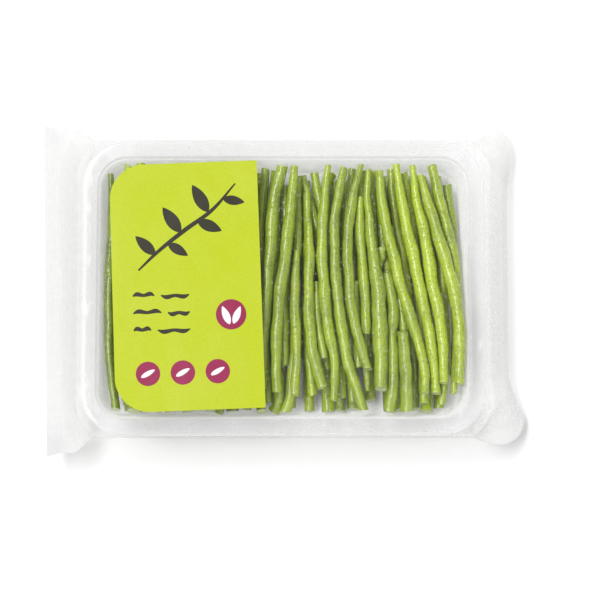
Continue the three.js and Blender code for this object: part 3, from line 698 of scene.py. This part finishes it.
# the tray: rounded rectangles along the profile of one bent sheet, each bend of the profile softened
# by two points on its legs and one between
def makeTray():
    s = trayShape
    wall, base, rim, ledge = s["wall"], s["baseZ"], s["rimZ"], s["ledgeZ"]
    floorZ = base + wall

    def row(half, grow, corner, z):
        return (half[0] + grow, half[1] + grow, corner, z)

    profile = [
        row(s["floorHalf"], -9.2, 7.2, base + 0.7), row(s["floorHalf"], -8.2, 7.2, base),
        row(s["floorHalf"], -2.2, 8.7, base),
        row(s["floorHalf"], wall, s["floorCorner"] + wall, base + 2.2),
        row(s["ledgeHalf"], wall, s["ledgeCorner"] + wall, ledge - wall),
        row(s["openingHalf"], wall, s["openingCorner"] + wall, ledge - wall),
        row(s["openingHalf"], wall, s["openingCorner"] + wall, rim - wall),
        row(s["rimHalf"], -wall, s["rimCorner"] - wall, rim - wall),
        row(s["rimHalf"], -wall, s["rimCorner"] - wall, rim - s["lip"]),
        row(s["rimHalf"], 0, s["rimCorner"], rim - s["lip"]),
        row(s["rimHalf"], 0, s["rimCorner"], rim),
        row(s["openingHalf"], 0, s["openingCorner"], rim),
        row(s["openingHalf"], 0, s["openingCorner"], ledge),
        row(s["ledgeHalf"], 0, s["ledgeCorner"], ledge),
        row(s["floorHalf"], 0, s["floorCorner"], floorZ + 2.2),
        row(s["floorHalf"], -2.2, 8.7, floorZ), row(s["floorHalf"], -8.2, 7.2, floorZ),
        row(s["floorHalf"], -9.2, 7.2, floorZ + 0.7),
    ]
    rows = np.array(profile)
    soft = [rows[0]]
    for before, here, after in zip(rows[:-2], rows[1:-1], rows[2:]):
        legs = [before - here, after - here]
        cuts = [leg * min(0.42, s["softest"] / max(np.hypot(leg[0], leg[3]), 1e-6)) for leg in legs]
        soft += [here + cuts[0], here + 0.25 * (cuts[0] + cuts[1]), here + cuts[1]]
    soft.append(rows[-1])
    loops = np.array([roundedLoop(*r, s["cornerSteps"]) for r in soft])
    size = loops.shape[1]
    points = loops.reshape(-1, 3)
    faces = ringFaces(len(loops), size).tolist()
    under = list(range(size))[::-1]
    over = [(len(loops) - 1) * size + i for i in range(size)]
    faces += [under, over]
    z = points[:, 2]
    onFloor = np.clip((5 - z) / 3, 0, 1)
    reach = np.maximum(np.abs(points[:, 0]) - 74, np.abs(points[:, 1]) - 49)
    nearWall = np.clip(reach / 5, 0, 1)
    outer = np.concatenate([np.full(size, r[0] > s["rimHalf"][0] - 1.0) for r in soft])
    # the haze added on the lip paints a highlight: a white line along the rim's rounded outer edge
    lipHighlightMask = (np.abs(z - rim + 1.3) < 1.2) * outer
    values = {
        "haze": (s["haze"] + s["floorHaze"] * onFloor * (0.3 + 0.7 * nearWall)
                 + s["rimHaze"] * (z > ledge) + s["paintedLipHighlight"] * lipHighlightMask),
        "mist": onFloor * (np.abs(points[:, 1]) > 40),
        "shade": shadeShare(points[:, 0], points[:, 1]),
        # lit: where the painted glow brightens the tray, near its walls
        "lit": nearWall,
    }
    return addPiece("tray_sheet", points, faces, trayMaterial, ("tray",), values, 60)


makeTray()
report("tray")


# ribs of the wrap from the right end to the left: upper corner, side fold and lower corner, each x,
# half width, z in mm
filmRibs = np.array([
    (105.4, 50, 6, 106.3, 63.5, 6.2, 105, 50, 5.7),
    (104.2, 50, 9.4, 104.6, 69.5, 8, 103.7, 50, 9.1),
    (102.4, 49, 14, 101.2, 74, 10, 101.8, 49, 13.7),
    (100.2, 51, 18.4, 97.6, 75.4, 12.4, 98.6, 50, 9.6),
    (97.4, 54, 22.4, 94.4, 74, 14.4, 95.5, 53, 6.2),
    (94.5, 58, 25.2, 91.6, 71.8, 16.2, 91.5, 55.5, 4),
    (89.5, 66.5, 25.2, 88.2, 69.5, 17.5, 87, 57.5, 2),
    (84, 69.1, 25.2, 84, 69.1, 18.5, 80, 59.5, 0),
    (31, 69.1, 25.2, 30, 69.1, 18.5, 29, 59.5, 0),
    (-25, 69.1, 25.2, -26, 69.1, 18.5, -27, 59.5, 0),
    (-84, 69.1, 25.2, -84, 69.1, 18.5, -80, 59.5, 0),
    (-89.5, 66, 25.2, -88.5, 70.5, 18, -86.5, 57.5, 4.6),
    (-94.4, 58, 25.2, -92.5, 73.5, 17.2, -91, 54, 8.2),
    (-97.6, 50, 21.8, -96.5, 76, 16.6, -95.6, 49, 12.2),
    (-101.2, 46, 18, -100.5, 77, 16.6, -100.6, 46, 15.8),
    (-104, 46, 16.6, -104, 77, 16.3, -104, 46, 16),
    (-110.8, 46, 15.6, -110.8, 77.2, 15.3, -110.8, 46, 15),
])
filmShape = {
    "bend": 0.9,          # mm from each corner of a loop where its rounding starts
    "creases": 22,
    "creaseHeight": 0.4,
    "finWave": 0.55,
    "lowerEar": (6.2, 4.2),    # mm that the right end's corners are drawn out along X and Y
    "upperEar": (2.2, 1.9),
    "haze": 0.005,
    "leftHaze": 0.46,
    "finHaze": 0.14,
    "rightHaze": 0.26,
    "earHaze": 0.12,
    "sideHaze": 0.10,
    "frontHaze": 0.08,
    "paintedCreaseSheen": 0.08,
}


# points along the half loop of every rib: straight runs with a quadratic bend at each inner corner
def filmHalf(ribs):
    up = ribs[:, 0:3]
    fold = ribs[:, 3:6]
    low = ribs[:, 6:9]
    start = np.stack([up[:, 0], up[:, 1] * 0, up[:, 2]], axis=1)
    stop = np.stack([low[:, 0], low[:, 1] * 0, low[:, 2]], axis=1)
    corners = [start, up, fold, low, stop]
    runs = []
    here = start
    for k, straight in ((1, 40), (2, 10), (3, 16)):
        before, corner, after = here, corners[k], corners[k + 1]
        toBefore = before - corner
        toAfter = after - corner
        lenBefore = np.maximum(np.linalg.norm(toBefore, axis=1, keepdims=True), 1e-6)
        lenAfter = np.maximum(np.linalg.norm(toAfter, axis=1, keepdims=True), 1e-6)
        a = corner + toBefore / lenBefore * np.minimum(filmShape["bend"], 0.3 * lenBefore)
        b = corner + toAfter / lenAfter * np.minimum(filmShape["bend"], 0.3 * lenAfter)
        for t in np.linspace(0, 1, straight, endpoint=False):
            runs.append(here + (a - here) * t)
        for t in np.linspace(0, 1, 5, endpoint=False):
            runs.append((1 - t) ** 2 * a + 2 * t * (1 - t) * corner + t**2 * b)
        here = b
    for t in np.linspace(0, 1, 30):
        runs.append(here + (stop - here) * t)
    return np.array(runs).transpose(1, 0, 2)


# distance of points (n, 2) from a segment, and how far along it they lie
def segmentDistance(points, a, b):
    a, b = np.asarray(a, dtype=float), np.asarray(b, dtype=float)
    along = np.clip(((points - a) @ (b - a)) / np.dot(b - a, b - a), 0, 1)
    return np.linalg.norm(points - (a + along[:, None] * (b - a)), axis=1), along


# the wrap: closed loops across the pack, read between the ribs without overshoot; creases are raised
# where points come near seeded lines that fan out from the rim to the fins, and haze along them paints a
# sheen
def makeFilm():
    s = filmShape
    at = np.concatenate([
        np.linspace(0, 7, 84, endpoint=False), np.linspace(7, 10, 40, endpoint=False),
        np.linspace(10, 16, 80)])
    ribs = easeThrough(filmRibs, at)
    half = filmHalf(ribs)
    mirrored = half[:, 1:-1][:, ::-1] * [1, -1, 1]
    loops = np.concatenate([half, mirrored], axis=1)
    rows, size = loops.shape[:2]
    points = loops.reshape(-1, 3)
    x, y, z = points[:, 0].copy(), points[:, 1].copy(), points[:, 2].copy()

    left = np.clip((-x - 92) / 12, 0, 1)
    right = np.clip((x - 90) / 10, 0, 1)
    points[:, 0] -= left * y * 0.023
    lower = np.clip((-y - 40) / 25, 0, 1)
    upper = np.clip((y - 40) / 25, 0, 1)
    for axis in (0, 1):
        points[:, axis] += right * (lower * s["lowerEar"][axis] + upper * s["upperEar"][axis])
    wave = np.sin(y / 11 + 0.6) + 0.6 * np.sin(y / 5.3 + 2.0) + 0.5 * np.sin(y / 24 + 1.0)
    points[:, 2] += s["finWave"] * left**2 * wave
    points[:, 1] += 0.7 * left * np.sin(x / 3.1) * np.sign(y) * (np.abs(y) > 70)

    rng = np.random.default_rng(91)
    ground = np.stack([x, y], axis=1)
    raised = np.zeros(len(points))
    sheen = np.zeros(len(points))
    for k in range(s["creases"]):
        end = -1 if k % 2 else 1
        startY = rng.uniform(-64, 64)
        reachX = rng.uniform(9, 15)
        a = (end * rng.uniform(85, 90), startY)
        b = (end * (88 + reachX), startY * rng.uniform(1.0, 1.18) + rng.uniform(-4, 4))
        distance, along = segmentDistance(ground, a, b)
        width = rng.uniform(0.9, 2.6)
        body = np.exp(-((distance / width) ** 2)) * np.sin(np.pi * np.clip(along, 0.02, 1) ** 0.7)
        raised += rng.choice([-1, 1]) * body
        sheen += body
    ends = np.clip((np.abs(x) - 86) / 5, 0, 1) * np.clip((110 - np.abs(x)) / 5, 0, 1)
    points[:, 2] += s["creaseHeight"] * raised * ends * (z > 9)

    faces = ringFaces(rows, size).tolist()
    faces.append(list(range(size))[::-1])
    faces.append([(rows - 1) * size + i for i in range(size)])
    finLeft = np.clip((-x - 93) / 12, 0, 1)
    leftEnd = np.clip((-x - 88) / 5, 0, 1)
    rightEnd = np.clip((x - 88) / 6, 0, 1)
    ears = np.clip((np.abs(y) - 44) / 12, 0, 1)
    band = np.clip((x - 93) / 3, 0, 1) * np.clip((56 - np.abs(y)) / 6, 0, 1)
    side = np.clip((np.abs(y) - 67) / 2, 0, 1)
    top = (z > 24) * (np.abs(x) < 88)
    values = {
        "haze": (s["haze"] + s["leftHaze"] * leftEnd + s["finHaze"] * finLeft
                 + rightEnd * (s["rightHaze"] + s["earHaze"] * ears)
                 + side * (s["sideHaze"] + s["frontHaze"] * (y < 0))
                 # haze along the creases is a painted sheen
                 + s["paintedCreaseSheen"] * np.clip(sheen, 0, 1) * ends),
        # where the water beads with their painted glints sit
        "beadGlints": np.exp(-((x - 104) ** 2 + (y + 62) ** 2) / 90),
        "crimp": 0.5 * finLeft,
        "dotted": band,
        "mist": top * (x > -5) * 0.8 + 0.35 * top,
        "shade": shadeShare(x, y) + 0.15,
        # lit: share of the painted glow, one everywhere and up to twice at the right end, less on its ears
        "lit": 1 + rightEnd * (1 - 0.6 * ears),
    }
    return addPiece("film_wrap", points, faces, filmMaterial, ("film",), values, 60)


makeFilm()
report("film")


labelShape = {
    "size": (68.6, 115.0),
    "corner": 16.0,
    "turn": math.radians(2.2),
    "centre": (-44.6, 0.5),
    "under": 25.5,
    "thick": 0.3,
    "inkLift": 0.02,
    "inkThick": 0.04,
}


# label places (n, 2) to model places: a turn about the label's centre and a shift
def onLabel(flat):
    flat = np.asarray(flat, dtype=float)
    c, s = math.cos(labelShape["turn"]), math.sin(labelShape["turn"])
    turned = np.stack([flat[:, 0] * c - flat[:, 1] * s, flat[:, 0] * s + flat[:, 1] * c], axis=1)
    return turned + labelShape["centre"]


# a flat slab from an outline: its loop at two heights, sides between and a cap on each
def slab(outline, low, high, first=0):
    flat = onLabel(outline)
    n = len(flat)
    points = np.concatenate([np.column_stack([flat, np.full(n, z)]) for z in (low, high)])
    faces = [tuple(first + i for i in range(n))[::-1], tuple(first + n + i for i in range(n))]
    faces += [(first + i, first + (i + 1) % n, first + n + (i + 1) % n, first + n + i) for i in range(n)]
    return points, faces


def arc(centre, radius, start, stop, steps):
    angle = np.radians(np.linspace(start, stop, steps))
    return np.stack([centre[0] + radius * np.cos(angle), centre[1] + radius * np.sin(angle)], axis=1)


def makeLabel():
    halfW, halfL = labelShape["size"][0] / 2, labelShape["size"][1] / 2
    r = labelShape["corner"]
    outline = np.concatenate([
        [(halfW, -halfL), (halfW, halfL)],
        arc((-halfW + r, halfL - r), r, 90, 180, 24),
        arc((-halfW + r, -halfL + r), r, 180, 270, 24)])
    low = labelShape["under"]
    points, faces = slab(outline, low, low + labelShape["thick"])
    return addPiece("label_sheet", points, faces, labelMaterial, ("label",), None, 40)


# a leaf outline: width follows a sine raised to a power along the straight midrib
def leaf(base, tip, width, power=0.8):
    base, tip = np.asarray(base, float), np.asarray(tip, float)
    t = np.linspace(0, 1, 16)[1:-1]
    across = np.array([-(tip - base)[1], (tip - base)[0]]) / np.linalg.norm(tip - base)
    swell = width / 2 * np.sin(np.pi * t**0.85) ** power
    one = base + t[:, None] * (tip - base) + swell[:, None] * across
    other = base + t[:, None] * (tip - base) - swell[:, None] * across
    return np.concatenate([[base], other, [tip], one[::-1]])


# a brush stroke: a smooth line through points with a width at each
def stroke(points, widths):
    at = np.linspace(0, len(points) - 1, 10 * (len(points) - 1))
    line = curveThrough(points, at)
    width = curveThrough(np.asarray(widths, float)[:, None], at)[:, 0]
    heading = np.gradient(line, axis=0)
    heading /= np.linalg.norm(heading, axis=1, keepdims=True)
    across = np.stack([-heading[:, 1], heading[:, 0]], axis=1) * (width / 2)[:, None]
    return np.concatenate([line - across, (line + across)[::-1]])


def printInk(name, outlines, material, layer=0):
    low = labelShape["under"] + labelShape["thick"] + labelShape["inkLift"] + layer * 0.05
    points, faces, count = [], [], 0
    for outline in outlines:
        some, more = slab(outline, low, low + labelShape["inkThick"], count)
        points.append(some)
        faces += more
        count += len(some)
    return addPiece(name, np.concatenate(points), faces, material, (), None, 40)


# plain motifs: a sprig of leaves, rows of small pods, and round spots with a sprout
def makePrint():
    stem = stroke([(-22, 8), (-12, 17), (0, 26), (13, 35), (24, 47)], [0.8, 1.6, 2.0, 1.6, 0.6])
    dark = []
    for (bx, by), (tx, ty), w in (
            ((-14, 15), (-23, 24), 5.2), ((-8, 20), (1, 14), 4.6), ((-2, 25), (-10, 37), 6.0),
            ((6, 30), (17, 25), 5.4), ((11, 34), (4, 47), 6.0), ((18, 40), (28, 38), 4.4)):
        dark.append(leaf((bx, by), (tx, ty), w))
    for y, lengths in ((-4, (10, 13)), (-12, (13, 10)), (-20, (8, 15))):
        x = -25.0
        for k, length in enumerate(lengths):
            lift = 0.9 * (-1) ** k
            wave = ((0, 0), (0.2, 1), (0.5, 0.3), (0.8, 1), (1, 0))
            pod = [(x + along * length, y + up * lift) for along, up in wave]
            dark.append(stroke(pod, [0.5, 2.0, 1.5, 2.0, 0.5]))
            x += length + 3.0
    small = ((-19, -40), (-3, -40), (13, -40))
    spots = [arc(c, r, 0, 352, 45) for c, r in (((20, -14), 7.0), *((c, 5.6) for c in small))]
    light = [leaf((19.3, -18.6), (16.0, -10), 3.4), leaf((20.9, -18.4), (24.4, -10.4), 3.2)]
    for c in small:
        light.append(leaf((c[0] - 3.2, c[1] - 1.6), (c[0] + 3.2, c[1] + 1.8), 2.2, 0.6))
    printInk("label_dark_ink", dark, darkMaterial)
    printInk("label_stem_ink", [stem], darkMaterial, 1)
    printInk("label_spots", spots, spotMaterial)
    printInk("label_light_ink", light, whiteMaterial, 1)


makeLabel()
makePrint()
report("label")


studio = {
    "elevation": 83.0,
    "distance": 0.95,
    "target": (0.0076, -0.0060, 0.0250),
    "frameWidth": 0.2764,
    "world": 0.58,
    "keyPlace": (-1.6, 0.8, 3.9),
    "keySize": (1.0, 3.4),     # m across and along Y
    "keyEnergy": 116.0,
    "fillPlace": (0.9, -0.8, 3.4),
    "fillSize": (2.4, 2.4),
    "fillEnergy": 16.0,
}


def makeCamera():
    data = bpy.data.cameras.new("view")
    data.sensor_width = 36
    data.lens = 36 * studio["distance"] / studio["frameWidth"]
    camera = bpy.data.objects.new("view", data)
    bpy.context.scene.collection.objects.link(camera)
    tilt = math.radians(studio["elevation"])
    target = Vector(studio["target"])
    camera.location = target + studio["distance"] * Vector((0, -math.cos(tilt), math.sin(tilt)))
    camera.rotation_euler = (math.pi / 2 - tilt, 0, 0)
    bpy.context.scene.camera = camera


# a soft box that looks at the pack, its second size laid along Y
def addArea(name, place, size, energy):
    data = bpy.data.lights.new(name, "AREA")
    data.shape = "RECTANGLE"
    data.size, data.size_y = size
    data.energy = energy
    light = bpy.data.objects.new(name, data)
    light.location = place
    back = Vector(place).normalized()
    along = (Vector((0, 1, 0)) - back * back.y).normalized()
    light.rotation_euler = Matrix((along.cross(back), along, back)).transposed().to_euler()
    bpy.context.scene.collection.objects.link(light)


def makeStudio():
    mesh = bpy.data.meshes.new("floor")
    mesh.from_pydata([(-3, -3, 0), (3, -3, 0), (3, 3, 0), (-3, 3, 0)], [], [(0, 1, 2, 3)])
    mesh.materials.append(makeFloorMaterial())
    floor = bpy.data.objects.new("floor", mesh)
    bpy.context.scene.collection.objects.link(floor)
    world = bpy.data.worlds.new("studio")
    world.use_nodes = True
    world.node_tree.nodes["Background"].inputs["Color"].default_value = (1, 1, 1, 1)
    world.node_tree.nodes["Background"].inputs["Strength"].default_value = studio["world"]
    bpy.context.scene.world = world
    bpy.context.scene.view_settings.view_transform = "Standard"
    addArea("key", studio["keyPlace"], studio["keySize"], studio["keyEnergy"])
    addArea("fill", studio["fillPlace"], studio["fillSize"], studio["fillEnergy"])


makeCamera()
makeStudio()
report("studio")
